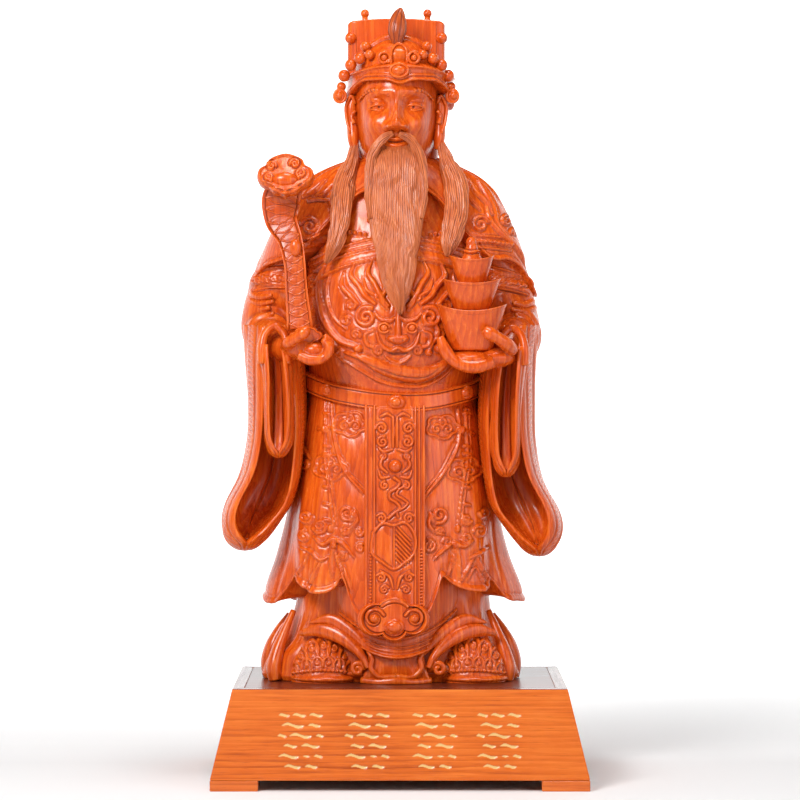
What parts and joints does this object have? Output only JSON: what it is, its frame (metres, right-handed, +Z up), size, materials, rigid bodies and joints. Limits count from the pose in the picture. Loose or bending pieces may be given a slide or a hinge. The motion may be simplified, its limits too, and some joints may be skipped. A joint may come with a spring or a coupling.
{
  "type": "wooden wealth god figure",
  "caption": "Standing robed and bearded god of wealth carved from one block of rosewood, holding a ruyi sceptre and stacked ingots, on a sloping plinth of joined boards.",
  "frame": {"origin": "on the floor under the middle of the plinth", "axes": "+Z up, the figure faces -Y, and +X is the viewer's right"},
  "size_m": [0.386, 0.296, 0.7992],
  "materials": {
    "carved_rosewood": "carved rosewood under a glossy clear coat, darker in the cuts",
    "plinth_board": "planed rosewood board, glossy",
    "dark_plinth_top": "dark stained wood, polished"
  },
  "bodies": {
    "root": {"figure": "carved_rosewood", "plinth_front_board": "plinth_board", "plinth_back_board": "plinth_board", "plinth_left_board": "plinth_board", "plinth_right_board": "plinth_board", "plinth_top_panel": "dark_plinth_top", "plinth_foot_front_left": "plinth_board", "plinth_foot_back_left": "plinth_board", "plinth_foot_front_right": "plinth_board", "plinth_foot_back_right": "plinth_board"}
  },
  "joints": []
}
